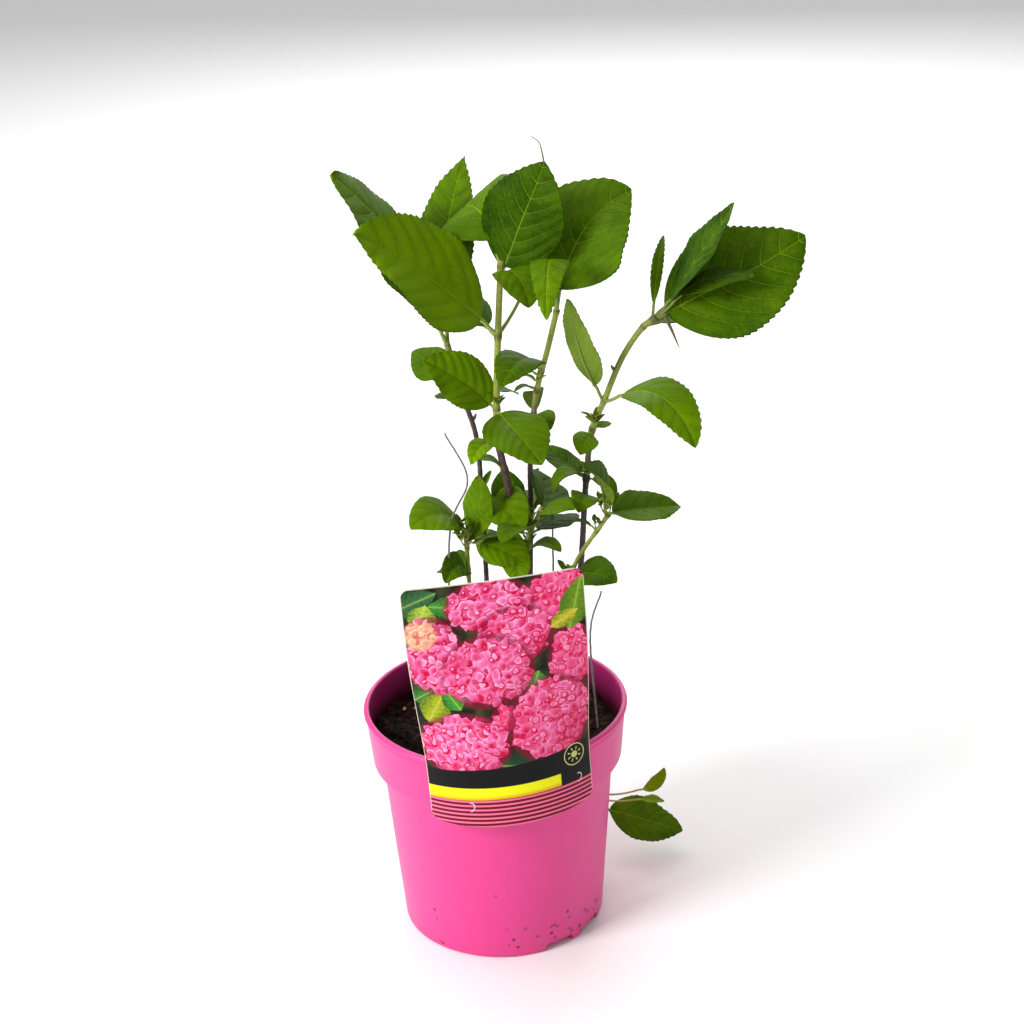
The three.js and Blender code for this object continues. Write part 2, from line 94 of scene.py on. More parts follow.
# Sprays of leaves. Each leaf: joint height, turn, rise, stalk, length, width, droop, roll, fold,
# sway, tone (0 dark .. 1 bright) and how strongly it is pleated.
SPRAYS = {
    "leaves_left_head": ("left", [
        (434, 205, 70, 30, 122, 86, 24, -28, 0, -5, 0.42, 0.5),
        (434, 90, 65, 34, 98, 45, 10, -10, 20, -40, 0.3, 1.3),
        (430, 95, 60, 16, 62, 38, 30, 0, 25, 0, 0.3, 0.6),
    ]),
    "leaves_left_tier": ("left", [
        (404, 125, 15, 16, 44, 28, 15, -35, 0, -5, 0.3, 0.3),
        (391, 125, 5, 12, 26, 12, 35, -20, 10, 0, 0.15, 0.2),
        (396, 30, 10, 8, 40, 26, 50, 0, 20, 0, 0.35, 0.4),
    ]),
    "leaves_left_low": ("left", [
        (320, 300, 25, 6, 50, 36, 80, 20, 20, 5, 0.5, 1.2),
    ]),
    "leaves_middle_head": ("middle", [
        (448, 200, 50, 17, 117, 78, 20, -50, 30, 15, 0.78, 0.6),
        (448, 55, 35, 50, 72, 44, 35, 0, 20, 20, 0.35, 0.6),
        (490, 345, 65, 6, 78, 58, -5, 80, 0, 0, 0.1, 1.15),
        (496, 120, 65, 18, 80, 68, 160, -30, 5, -10, 0.35, 0.7),
        (490, 294, 30, 10, 44, 34, 110, 0, 20, 0, 0.3, 0.5),
        (446, 135, 32, 12, 60, 40, 40, 0, 20, 0, 0.3, 0.6),
    ]),
    "leaves_middle_tier": ("middle", [
        (394, 190, 50, 6, 60, 38, 20, -60, 20, 10, 0.68, 0.6),
        (394, 290, -5, 6, 60, 45, 25, 10, 20, 15, 0.45, 0.4),
        (369, 235, 25, 10, 28, 16, 85, -15, 30, 0, 0.95, 0.3),
    ]),
    "leaves_middle_low": ("middle", [
        (348, 178, 60, 4, 26, 11, 110, 0, 20, 0, 0.45, 0.2),
        (318, 100, 45, 3, 28, 24, 0, 0, 20, 0, 0.15, 0.4),
    ]),
    "leaves_centre_head": ("centre", [
        (463, 15, 80, 16, 84, 84, 60, 30, 20, 0, 0.28, 0.6),
        (463, 262, 80, 20, 92, 25, 170, 0, 0, 0, 0.42, 0.5),
    ]),
    "leaves_centre_tier": ("centre", [
        (418, 245, 45, 12, 56, 32, 90, -10, 20, -10, 0.3, 0.5),
        (402, 95, -10, 6, 22, 16, 120, -10, 40, 10, 0.2, 0.3),
        (385, 290, 25, 6, 24, 18, 70, 5, 25, 5, 0.35, 0.2),
        (404, 220, 40, 5, 18, 6, 70, 0, 20, 0, 0.2, 0.1),
    ]),
    "leaves_right_head": ("right", [
        (459, 0, 25, 7, 105, 77, 0, 50, 10, 15, 0.22, 0.5),
        (459, 0, 55, 15, 76, 48, 0, 0, 20, 15, 0.08, 1.3),
        (458, 350, 45, 24, 54, 26, 60, 15, 0, -5, 0.15, 0.6),
        (457, 75, 60, 12, 55, 8, 40, 0, 30, 0, 0.4, 0.2),
        (452, 25, 10, 8, 50, 34, 30, 0, 20, 0, 0.3, 0.5),
    ]),
    "leaves_right_tier": ("right", [
        (397, 215, 65, 16, 68, 34, -15, 5, 20, -10, 0.3, 0.2),
        (397, 315, 30, 20, 80, 38, 95, 10, 20, -10, 0.5, 0.2),
        (375, 250, 0, 4, 25, 18, 30, -20, 15, 0, 0.8, 0.2),
        (377, 40, 5, 4, 14, 8, 20, 15, 15, 0, 0.5, 0.1),
    ]),
    "leaves_right_low": ("right", [
        (338, 135, 20, 6, 38, 24, 0, 0, 20, 0, 0.2, 0.4),
        (337, 200, 50, 5, 32, 20, 150, 5, 25, 0, 0.35, 0.3),
        (337, 330, 20, 5, 26, 12, 120, 20, 15, 0, 0.3, 0.2),
        (323, 270, 35, 8, 28, 20, 80, -20, 25, -30, 0.6, 0.3),
    ]),
    "leaves_low_left": ("lowLeft", [
        (303, 215, 65, 10, 50, 36, 100, -25, 15, 5, 0.55, 0.3),
        (300, 330, 5, 12, 40, 34, 50, 20, 20, 0, 0.6, 1.1),
        (295, 20, 65, 8, 46, 30, -30, 15, 15, 15, 0.5, 0.6),
        (277, 130, 10, 3, 34, 24, 65, -25, 35, 0, 0.2, 0.3),
        (264, 240, 75, 14, 34, 22, 140, -40, 40, -5, 0.25, 0.3),
    ]),
    "leaves_low_middle": ("lowMiddle", [
        (320, 75, 5, 7, 48, 38, -10, 40, 50, 30, 0.2, 0.4),
        (320, 310, 35, 3, 34, 20, 35, 20, 20, 5, 0.45, 0.3),
        (304, 50, 5, 10, 48, 24, 25, 0, 0, 0, 0.1, 0.3),
        (283, 125, 0, 16, 40, 22, -25, -45, 20, -5, 0.45, 0.3),
        (279, 260, 40, 14, 26, 20, 110, 5, 30, 25, 0.6, 0.3),
        (286, 100, 45, 20, 32, 20, 30, -15, 40, -30, 0.5, 0.6),
        (270, 120, 45, 10, 32, 22, 30, -5, 30, 10, 0.55, 0.5),
        (306, 236, 42, 8, 34, 23, 80, 0, 25, 0, 0.42, 0.7),
        (298, 190, 30, 10, 30, 20, 60, 15, 20, 0, 0.3, 0.7),
        (312, 20, 40, 6, 32, 22, 50, -15, 25, 0, 0.3, 0.6),
        (290, 330, 46, 10, 26, 18, 90, 0, 25, 0, 0.5, 0.5),
        (300, 130, 50, 10, 34, 22, 40, 0, 25, 0, 0.2, 0.5),
    ]),
    "leaves_low_right": ("lowRight", [
        (319, 25, 0, 3, 55, 34, 15, 20, 30, 0, 0.4, 0.4),
        (317, 240, 85, 5, 58, 24, 65, -55, 75, 0, 0.3, 0.2),
        (306, 175, 50, 6, 16, 5, 90, 0, 20, 0, 0.3, 0.1),
        (269, 320, 40, 2, 42, 32, 60, 20, 20, 0, 0.15, 0.3),
    ]),
    "leaves_centre_low": ("centre", [
        (312, 160, -10, 5, 24, 13, 10, 0, 20, 0, 0.15, 0.3),
        (306, 80, 10, 14, 46, 30, 40, 0, 20, 0, 0.2, 0.3),
    ]),
    "leaves_trailing": ("trailing", [
        (42, 0, -17, 4, 60, 38, 8, 30, 10, 0, 0.3, 0.3),
        (50, 345, 15, 33, 25, 12, -60, 25, 10, 40, 1.15, 0.2),
        (47, 345, 8, 30, 18, 12, 20, 0, 20, 0, 1.05, 0.2),
        (66, 95, 30, 12, 46, 30, 50, 0, 20, 0, 0.4, 0.3),
    ]),
}

DRY_STALKS = {
    "dry_stalk_left": [(-30, -20, 140), (-28, -18, 285), (-24, -16, 322), (-12, -14, 350), (-26, -12, 384)],
    "dry_stalk_middle": [(44, 30, 140), (46, 22, 290), (46, 20, 312)],
    "dry_stalk_right": [(74, 0, 140), (70, -6, 230), (78, -8, 258)],
}


# ---- shader maths ----
class Value:
    """A number, colour or vector inside a shader, with plain arithmetic."""

    def __init__(self, paint, socket):
        self.paint = paint
        self.socket = socket

    def _math(self, operation, *others):
        return self.paint.node("ShaderNodeMath", [self, *others], operation=operation)

    def __add__(self, other):
        return self._math("ADD", other)

    __radd__ = __add__

    def __mul__(self, other):
        return self._math("MULTIPLY", other)

    __rmul__ = __mul__

    def __sub__(self, other):
        return self._math("SUBTRACT", other)

    def __rsub__(self, other):
        return self.paint.node("ShaderNodeMath", [other, self], operation="SUBTRACT")

    def __truediv__(self, other):
        return self._math("DIVIDE", other)

    def __pow__(self, other):
        return self._math("POWER", other)

    def __abs__(self):
        return self._math("ABSOLUTE")

    def least(self, other):
        return self._math("MINIMUM", other)

    def most(self, other):
        return self._math("MAXIMUM", other)

    def root(self):
        return self._math("SQRT")

    def fraction(self):
        return self._math("FRACT")

    def above(self, edge, soft=0.0):
        """0 below the edge, 1 above it, with a soft step."""
        if not soft:
            return self._math("GREATER_THAN", edge)
        return self.paint.node(
            "ShaderNodeMapRange", [self, edge - soft, edge + soft, 0.0, 1.0],
            interpolation_type="SMOOTHSTEP")

    def below(self, edge, soft=0.0):
        return 1 - self.above(edge, soft)


class Paint:
    """One material and the nodes in it."""

    def __init__(self, name, roughness=0.5):
        self.material = bpy.data.materials.new(name)
        self.material.use_nodes = True
        self.tree = self.material.node_tree
        self.shader = self.tree.nodes["Principled BSDF"]
        self.shader.inputs["Roughness"].default_value = roughness

    def node(self, kind, inputs=(), out=0, **settings):
        made = self.tree.nodes.new(kind)
        for key, value in settings.items():
            setattr(made, key, value)
        pairs = inputs.items() if isinstance(inputs, dict) else enumerate(inputs)
        for key, value in pairs:
            if value is None:
                continue
            if isinstance(value, Value):
                self.tree.links.new(value.socket, made.inputs[key])
            else:
                made.inputs[key].default_value = value
        if out == "all":
            return {s.name: Value(self, s) for s in made.outputs}
        return Value(self, made.outputs[out])

    def set(self, name, value):
        if isinstance(value, Value):
            self.tree.links.new(value.socket, self.shader.inputs[name])
        else:
            self.shader.inputs[name].default_value = value
        return self

    def place(self):
        return self.node("ShaderNodeTexCoord", out="Object")

    def attribute(self, name, kind="Vector"):
        return self.node("ShaderNodeAttribute", out=kind, attribute_name=name)

    def split(self, vector):
        made = self.node("ShaderNodeSeparateXYZ", [vector], out="all")
        return made["X"], made["Y"], made["Z"]

    def gather(self, x, y, z=0.0):
        return self.node("ShaderNodeCombineXYZ", [x, y, z])

    def noise(self, where, scale, detail=3.0, rough=0.5):
        return self.node(
            "ShaderNodeTexNoise",
            {"Vector": where, "Scale": scale, "Detail": detail, "Roughness": rough}, out=0)

    def cells(self, where, scale, out="Distance", feature="F1", random_=1.0):
        return self.node(
            "ShaderNodeTexVoronoi",
            {"Vector": where, "Scale": scale, "Randomness": random_}, out=out, feature=feature)

    def mix(self, factor, low, high):
        """Colour between low and high."""
        made = self.tree.nodes.new("ShaderNodeMix")
        made.data_type = "RGBA"
        made.clamp_factor = True
        for key, value in ((0, factor), (6, low), (7, high)):
            if isinstance(value, Value):
                self.tree.links.new(value.socket, made.inputs[key])
            elif key == 0:
                made.inputs[key].default_value = value
            else:
                made.inputs[key].default_value = (*value[:3], 1.0)
        return Value(self, made.outputs[2])

    def bump(self, height, strength=0.4, distance=0.0005):
        normal = self.node(
            "ShaderNodeBump", {"Strength": strength, "Distance": distance, "Height": height})
        return self.set("Normal", normal)


def shade(red, green, blue):
    """A colour given as it is seen on a screen, 0..255."""
    return tuple(((c / 255 + 0.055) / 1.055) ** 2.4 if c > 10 else c / 255 / 12.92
                 for c in (red, green, blue))


# ---- making meshes ----
def sheet_mesh(along, across):
    """A flat grid mesh of unit size, its corner at the origin."""
    shape = bmesh.new()
    bmesh.ops.create_grid(shape, x_segments=along, y_segments=across, size=0.5)
    bmesh.ops.translate(shape, verts=shape.verts, vec=(0.5, 0.5, 0))
    mesh = bpy.data.meshes.new("grid")
    shape.to_mesh(mesh)
    shape.free()
    return mesh


def points_of(mesh):
    found = np.zeros(len(mesh.vertices) * 3, np.float64)
    mesh.vertices.foreach_get("co", found)
    return found.reshape(-1, 3)


def move_points(mesh, points):
    mesh.vertices.foreach_set("co", np.asarray(points, np.float32).ravel())
    mesh.update()


def give(mesh, name, values):
    """A named value at every point, a number or three of them."""
    values = np.asarray(values, np.float32)
    if values.ndim == 1:
        mesh.attributes.new(name, "FLOAT", "POINT").data.foreach_set("value", values)
    else:
        mesh.attributes.new(name, "FLOAT_VECTOR", "POINT").data.foreach_set("vector", values.ravel())


def placed(name, mesh, materials, smooth=True):
    thing = bpy.data.objects.new(name, mesh)
    bpy.context.scene.collection.objects.link(thing)
    for paint in materials:
        mesh.materials.append(paint.material)
    mesh.polygons.foreach_set("use_smooth", [smooth] * len(mesh.polygons))
    return thing


def joined(name, things):
    first = things[0]
    if len(things) > 1:
        with bpy.context.temp_override(
                active_object=first, object=first, selected_objects=things,
                selected_editable_objects=things):
            bpy.ops.object.join()
    first.name = name
    first.data.name = name
    return first


def closed(mesh, distance=1e-6):
    """Joins the points that lie on one another, such as along a seam."""
    shape = bmesh.new()
    shape.from_mesh(mesh)
    bmesh.ops.remove_doubles(shape, verts=shape.verts, dist=distance)
    shape.to_mesh(mesh)
    shape.free()
    return mesh


# ---- curves ----
def smooth_curve(joints, steps=40):
    """Centripetal curve through the joints, as an array of points in millimetres."""
    joints = [np.array(p, float) for p in joints]
    points = [2 * joints[0] - joints[1], *joints, 2 * joints[-1] - joints[-2]]
    made = []
    for i in range(1, len(points) - 2):
        p0, p1, p2, p3 = points[i - 1:i + 3]
        d0, d1, d2 = (math.sqrt(np.linalg.norm(b - a)) for a, b in ((p0, p1), (p1, p2), (p2, p3)))
        t1 = ((p1 - p0) / d0 - (p2 - p0) / (d0 + d1) + (p2 - p1) / d1) * d1
        t2 = ((p2 - p1) / d1 - (p3 - p1) / (d1 + d2) + (p3 - p2) / d2) * d1
        last = i == len(points) - 3
        for u in np.linspace(0, 1, steps, endpoint=last):
            made.append((2 * u ** 3 - 3 * u ** 2 + 1) * p1 + (u ** 3 - 2 * u ** 2 + u) * t1
                        + (-2 * u ** 3 + 3 * u ** 2) * p2 + (u ** 3 - u ** 2) * t2)
    return np.array(made)


def at_height(curve, z):
    """The last point of the curve at this height, and the index of the curve point that ends the span it
    lies in.
    """
    for i in range(len(curve) - 1, 0, -1):
        low, high = curve[i - 1], curve[i]
        if (high[2] - z) * (low[2] - z) <= 0 and high[2] != low[2]:
            share = (z - low[2]) / (high[2] - low[2])
            return low + (high - low) * share, i
    return curve[-1], len(curve) - 1


def evenly(curve, count):
    lengths = np.concatenate([[0], np.cumsum(np.linalg.norm(np.diff(curve, axis=0), axis=1))])
    at = np.linspace(0, lengths[-1], count)
    return np.stack([np.interp(at, lengths, curve[:, k]) for k in range(3)], 1)


def tube_mesh(curve, radius_at, sides, count, relief=None):
    """A tube of changing radius round a curve in millimetres: a grid rolled up and closed."""
    line = evenly(curve, count + 1)
    along = np.gradient(line, axis=0)
    along /= np.linalg.norm(along, axis=1)[:, None]
    side = np.zeros_like(along)
    side[0] = np.cross(along[0], (0.3, 1, 0.1))
    for i in range(len(line)):
        if i:
            side[i] = side[i - 1]
        side[i] -= along[i] * np.dot(side[i], along[i])
        side[i] /= np.linalg.norm(side[i])
    other = np.cross(along, side)
    mesh = sheet_mesh(count, sides)
    flat = points_of(mesh)
    row = np.clip(np.rint(flat[:, 0] * count).astype(int), 0, count)
    share = flat[:, 0]
    angle = flat[:, 1] * 2 * math.pi
    radius = np.array([radius_at(t) for t in np.linspace(0, 1, count + 1)])[row]
    if relief is not None:
        radius = radius + relief(share, angle, line[row])
    points = (line[row] + side[row] * (radius * np.cos(angle))[:, None]
              + other[row] * (radius * np.sin(angle))[:, None])
    move_points(mesh, points * MM)
    give(mesh, "limb", np.stack([share, flat[:, 1], radius], 1))
    shape = bmesh.new()
    shape.from_mesh(mesh)
    bmesh.ops.remove_doubles(shape, verts=shape.verts, dist=1e-6)
    rims = [e for e in shape.edges if e.is_boundary]
    bmesh.ops.holes_fill(shape, edges=rims, sides=0)
    bmesh.ops.recalc_face_normals(shape, faces=shape.faces)
    shape.to_mesh(mesh)
    shape.free()
    return mesh


# ---- leaves ----
LEAF_TIPS = {}
RIB_STEPS = 240
BIG_LEAF = 58
BLADE_THICKNESS = 0.4
FACES_PER_PIECE = 180000


def blade_shape(s):
    return np.sin(np.pi * np.clip(s, 0, 1) ** 0.82) ** 0.78


def turned_frame(heading, climb, roll):
    """Directions along, to the side of and out of the blade, for arrays of angles."""
    along = np.stack([np.cos(heading) * np.cos(climb), np.sin(heading) * np.cos(climb), np.sin(climb)], -1)
    level = np.stack([-np.sin(heading), np.cos(heading), np.zeros_like(heading)], -1)
    upright = np.cross(along, level)
    cos, sin = np.cos(roll)[..., None], np.sin(roll)[..., None]
    return along, level * cos + upright * sin, upright * cos - level * sin


def vein_lines(s, y, count):
    """How far a point is from a side vein: 0 on it, 1 halfway to the next. y in leaf lengths."""
    reach = s - 0.5 * np.abs(y) - 1.9 * y * y
    q = reach * count + 0.35
    return 1 - np.abs(2 * (q - np.floor(q)) - 1)


def leaf_parts(name, curve, row, dice):
    """The blade's sheet and the stalk with its rib, for one leaf."""
    z, turn, rise, stalk, length, width, droop, roll, fold, sway, tone, pleat = row
    start, _ = at_height(curve, z)
    big = length > BIG_LEAF
    teeth = max(9, round(length / 4.4))
    count = teeth * 5 if big else max(36, teeth * 4)
    columns = 28 if big else 16
    mesh = sheet_mesh(count, columns)
    flat = points_of(mesh)
    s = flat[:, 0]
    c = 2 * flat[:, 1] - 1
    c = np.sign(c) * (1 - (1 - np.abs(c)) ** 1.15)

    # Middle line of the blade.
    fine = np.linspace(0, 1, RIB_STEPS + 1)
    heading = np.radians(turn + sway * fine)
    climb = np.radians(rise - droop * fine)
    wobble = dice.uniform(-1, 1)
    climb = climb + np.radians(2.5) * np.sin(fine * 7 + wobble * 3)
    along, side, up = turned_frame(heading, climb, np.full_like(fine, math.radians(roll)))
    first, _, _ = turned_frame(*(np.radians([angle]) for angle in (turn, rise, 0.0)))
    foot = start + first[0] * stalk
    run_out = np.concatenate([[np.zeros(3)], np.cumsum(along[:-1], axis=0)])
    middle = foot + run_out * length / RIB_STEPS
    near = np.clip(np.rint(s * RIB_STEPS).astype(int), 0, RIB_STEPS)

    # Outline with teeth pointing to the tip.
    half_width = width / 2 * blade_shape(s) + 0.1
    tooth = (s * teeth + 0.13 * dice.random()) % 1.0
    bite = 1.0 if length > 50 else 0.45
    saw = np.where(tooth < 0.75, tooth / 0.75, (1 - tooth) / 0.25)
    depth = bite * min(1.5, length / 75) * np.clip((s - 0.1) * 6, 0, 1) * np.clip((1 - s) * 9, 0.1, 1)
    edge = np.abs(c) ** 9
    y = c * half_width + np.sign(c) * edge * (saw - 0.35) * depth
    lean = edge * saw * depth * 0.5

    # Relief: sunken veins, swollen fields between them, a wavy margin.
    veins = 7 if big else 5
    yl = y / length
    gap = vein_lines(s, yl, veins)
    inner = np.clip(np.abs(yl) / 0.02, 0, 1)
    fade = np.clip((1 - np.abs(c)) * 4, 0, 1) * np.clip(s * 10, 0, 1) * np.clip((1 - s) * 6, 0, 1)
    swell = (np.sin(gap * math.pi / 2) ** 0.8 - 0.55) * fade * inner
    high = pleat * 1.15 * min(1.0, length / 90) * swell
    high -= 0.55 * np.exp(-(y / 1.1) ** 2) * min(1.0, length / 80)
    ripple = np.sin(s * dice.uniform(9, 13) + dice.uniform(0, 6) + np.sign(c) * dice.uniform(0.5, 1.6))
    high += ripple * np.abs(c) ** 2.2 * width * 0.02
    high += np.sin(s * 23 + np.sign(c) * 2 + wobble * 5) * np.abs(c) ** 3 * width * 0.008

    half = math.radians(fold) / 2
    spread = y * math.cos(half)
    lift = np.abs(y) * math.sin(half)
    # The blade arches down a little to its margins.
    lift = lift - 0.05 * width * (np.abs(c) ** 2) * blade_shape(s)
    points = (middle[near] + side[near] * spread[:, None] + up[near] * (lift + high)[:, None]
              + along[near] * lean[:, None])
    move_points(mesh, points * MM)
    give(mesh, "blade", np.stack([s, yl, np.full_like(s, veins)], 1))
    tone = tone + dice.uniform(-0.05, 0.05)
    give(mesh, "leaf", np.stack([np.full_like(s, tone), c, np.full_like(s, length / 120)], 1))
    blade = placed(name, mesh, [LEAF_TOP, LEAF_UNDER])
    LEAF_TIPS[name] = middle[-1]

    # Stalk running on as a rib under the blade.
    thick = min(1.5, 0.55 + length / 110)
    steps = 8
    stem_part = [start + first[0] * stalk * t for t in np.linspace(0, 1, steps, endpoint=False)]
    droop_line = [p + np.array([0, 0, -0.06]) * math.sin(math.pi * i / steps) * stalk
                  for i, p in enumerate(stem_part)]
    rib_at = (np.linspace(0, 0.8, 16) * RIB_STEPS).astype(int)
    under = [middle[k] - up[k] * (thick * (0.9 - 0.35 * k / RIB_STEPS) + 0.3) for k in rib_at]
    line = np.array([*droop_line, *under])
    whole = stalk + 0.8 * length
    share = stalk / whole

    def radius(t):
        if t < share:
            return thick * (1.25 - 0.3 * min(1, t / share * 3) if t < share * 0.34 else 0.95)
        return thick * (0.95 - 0.78 * (t - share) / (1 - share))

    rib = tube_mesh(line, radius, 8, 30 if big else 18)
    give(rib, "tone", np.full(len(rib.vertices), tone))
    return blade, placed(name + "_stalk", rib, [STALK])


# ---- paints ----
def leaf_paint(name, underside):
    paint = Paint(name, 0.42)
    s, y, veins = paint.split(paint.attribute("blade"))
    tone, c, _ = paint.split(paint.attribute("leaf"))
    place = paint.place()
    drift = paint.noise(place, 16.0, 1.0)
    reach = s - abs(y) * 0.5 - y * y * 1.9 + (drift - 0.5) * 0.05
    q = (reach * veins + 0.35).fraction()
    gap = 1 - abs(q * 2 - 1)
    # Side veins thin out towards the margin, and are a constant real width.
    thin = 0.085 - 0.05 * abs(c)
    side_vein = 1 - (gap / thin).least(1.0)
    side_vein = side_vein * (1 - abs(c)).above(0.09, 0.08) * s.above(0.05, 0.04)
    rib = 1 - (abs(y) / (0.0105 - 0.008 * s)).least(1.0)
    # Fine net between the veins.
    net = paint.cells(paint.gather(s * 34, y * 40, tone * 9), 1.0, feature="DISTANCE_TO_EDGE")
    net = 1 - (net / 0.07).least(1.0)
    cloud = paint.noise(place, 34.0, 4.0, 0.6)
    fleck = paint.noise(place, 260.0, 3.0, 0.6)
    if underside:
        dark, bright, vein = shade(84, 112, 30), shade(146, 168, 60), shade(180, 196, 96)
    else:
        dark, bright, vein = shade(26, 62, 0), shade(124, 164, 0), shade(146, 176, 16)
    level = (tone * 0.95 + (cloud - 0.5) * 0.7 + (fleck - 0.5) * 0.22 + 0.02).most(0.0)
    colour = paint.mix(level, dark, bright)
    # The swollen fields catch the light a little more than the valleys by the veins.
    valley = (1 - gap) ** 3
    colour = paint.mix(valley * 0.28 * (1 - rib), colour, shade(30, 60, 2) if not underside else dark)
    colour = paint.mix(net * 0.13, colour, vein)
    colour = paint.mix(side_vein * (0.6 if not underside else 0.66), colour, vein)
    colour = paint.mix(rib * 0.8, colour, vein)
    # Margins are a touch darker and browner.
    colour = paint.mix(abs(c).above(0.975, 0.02) * 0.45, colour, shade(52, 58, 16))
    paint.set("Base Color", colour)
    paint.set("Roughness", 0.4 + cloud * 0.16 + (0.2 if underside else 0.0))
    height = (1 - gap) * -0.4 + side_vein * (0.9 if underside else -0.55) - net * 0.22 + fleck * 0.25
    paint.bump(height + rib * (1.0 if underside else -0.6), 0.8, 0.0006)
    paint.set("Specular IOR Level", 0.05)
    return paint


def stalk_paint():
    paint = Paint("leaf_stalk", 0.45)
    share, turn, _ = paint.split(paint.attribute("limb"))
    tone = paint.attribute("tone", "Fac")
    streak = paint.noise(paint.gather(share * 8, turn * 9, 0.0), 1.0, 2.0)
    speck = paint.noise(paint.place(), 420.0, 2.0)
    colour = paint.mix(tone + (streak - 0.5) * 0.6, shade(104, 122, 34), shade(166, 182, 84))
    colour = paint.mix((speck - 0.6).most(0.0) * 2.2, colour, shade(120, 72, 40))
    paint.set("Base Color", colour)
    paint.bump(streak, 0.3, 0.0004)
    return paint


def bark_paint():
    paint = Paint("stem_bark", 0.55)
    wood, dark, joint = paint.split(paint.attribute("bark"))
    share, turn, _ = paint.split(paint.attribute("limb"))
    place = paint.place()
    grain = paint.noise(paint.gather(turn * 16, share * 60, 0.0), 1.0, 4.0, 0.6)
    pores = paint.cells(place, 420.0)
    cloud = paint.noise(place, 90.0, 3.0)
    green = paint.mix(cloud, shade(122, 132, 36), shade(160, 168, 66))
    green = paint.mix((pores.below(0.26, 0.06)) * 0.55, green, shade(112, 66, 34))
    brown = paint.mix(grain, shade(52, 26, 20), shade(118, 76, 58))
    black = paint.mix(grain, shade(26, 20, 26), shade(86, 74, 82))
    bark = paint.mix(dark, black, brown)
    bark = paint.mix(pores.below(0.2, 0.05) * 0.4, bark, shade(168, 140, 122))
    colour = paint.mix(wood + (cloud - 0.5) * 0.5 * wood, green, bark)
    colour = paint.mix(joint * 0.7, colour, shade(58, 34, 26))
    paint.set("Base Color", colour)
    paint.set("Roughness", 0.42 + wood * 0.25)
    paint.bump(grain * 0.7 - pores * 0.3, 0.6, 0.0005)
    return paint


def dry_paint():
    paint = Paint("dry_stalk", 0.7)
    place = paint.place()
    grain = paint.noise(place, 320.0, 3.0)
    colour = paint.mix(grain, shade(70, 62, 62), shade(150, 142, 140))
    paint.set("Base Color", colour)
    paint.bump(grain, 0.4, 0.0004)
    return paint


def pot_paint():
    paint = Paint("pot_plastic", 0.42)
    place = paint.place()
    x, y, z = paint.split(place)
    out = (x * x + y * y).root()
    inside = (paint.node("ShaderNodeNewGeometry", out="Normal"))
    nx, ny, _ = paint.split(inside)
    facing = nx * x + ny * y
    cloud = paint.noise(place, 14.0, 3.0)
    fine = paint.noise(place, 900.0, 2.0)
    streaks = paint.noise(paint.gather(x * 60, y * 60, z * 9), 1.0, 3.0)
    colour = paint.mix(cloud * 0.5 + 0.25, shade(220, 46, 130), shade(230, 62, 144))
    turn = paint.node("ShaderNodeMath", [y, x], operation="ARCTAN2")
    # Dust and splashes of compost low on the wall.
    low = z.below(0.045, 0.04)
    dust = paint.noise(place, 75.0, 5.0, 0.65)
    colour = paint.mix((dust - 0.5).most(0.0) * 1.3 * (0.15 + low * 0.6), colour, shade(176, 96, 110))
    specks = paint.cells(place, 150.0).below(0.24, 0.04) * paint.noise(place, 30.0).above(0.52, 0.03)
    colour = paint.mix(specks * z.below(0.024, 0.012) * 0.9, colour, shade(60, 14, 30))
    lone = paint.cells(place, 60.0).below(0.085, 0.02) * paint.noise(place, 22.0).above(0.55, 0.03)
    colour = paint.mix(lone * 0.85, colour, shade(96, 20, 50))
    # Inside wall: the plastic in shade, stained by wet compost.
    within = facing.below(0.0)
    stain = paint.noise(paint.gather(x * 30, y * 30, z * 60), 1.0, 4.0)
    inner = paint.mix((0.171 - z) * 42 + (stain - 0.5) * 0.5, shade(186, 40, 120), shade(62, 4, 24))
    colour = paint.mix(within * z.above(0.012), colour, inner)
    paint.set("Base Color", colour)
    paint.set("Roughness", 0.36 + cloud * 0.12 + (streaks - 0.5) * 0.1)
    # A faint sunken panel low on the right of the front, and the mould's seam.
    panel_u = abs(turn + 0.93)
    panel_v = abs(z - 0.036)
    frame_line = (abs(panel_u - 0.2).below(0.006, 0.003) * panel_v.below(0.0125)).most(
        abs(panel_v - 0.0125).below(0.0005, 0.0003) * panel_u.below(0.2))
    frame_line = frame_line.most(abs(turn + 1.46).below(0.004, 0.003) * z.below(0.06, 0.03))
    paint.bump(fine * 0.25 + streaks * 0.5 - frame_line * out.above(0.06) * 1.5, 0.2, 0.0004)
    return paint


def soil_paint(name, chips):
    paint = Paint(name, 0.85)
    place = paint.place()
    big = paint.noise(place, 90.0, 6.0, 0.65)
    fine = paint.noise(place, 520.0, 4.0, 0.6)
    colour = paint.mix((big - 0.42) * 2.4, shade(10, 5, 6), shade(52, 28, 22))
    if chips:
        tint = paint.attribute("chip", "Fac")
        bark = paint.mix(fine, shade(22, 8, 8), shade(78, 36, 30))
        tan = paint.mix(fine, shade(150, 112, 74), shade(196, 158, 112))
        colour = paint.mix(tint, colour, bark)
        colour = paint.mix(tint.above(0.97), colour, tan)
    else:
        crumbs = paint.cells(place, 300.0, out="Color")
        shade_of = paint.split(crumbs)[0]
        colour = paint.mix(shade_of.above(0.85, 0.1) * 0.4, colour, shade(88, 60, 42))
    paint.set("Base Color", colour)
    paint.set("Roughness", 0.7 + fine * 0.3)
    paint.set("Specular IOR Level", 0.12)
    paint.bump(big + fine * 0.6, 0.9, 0.0012)
    return paint


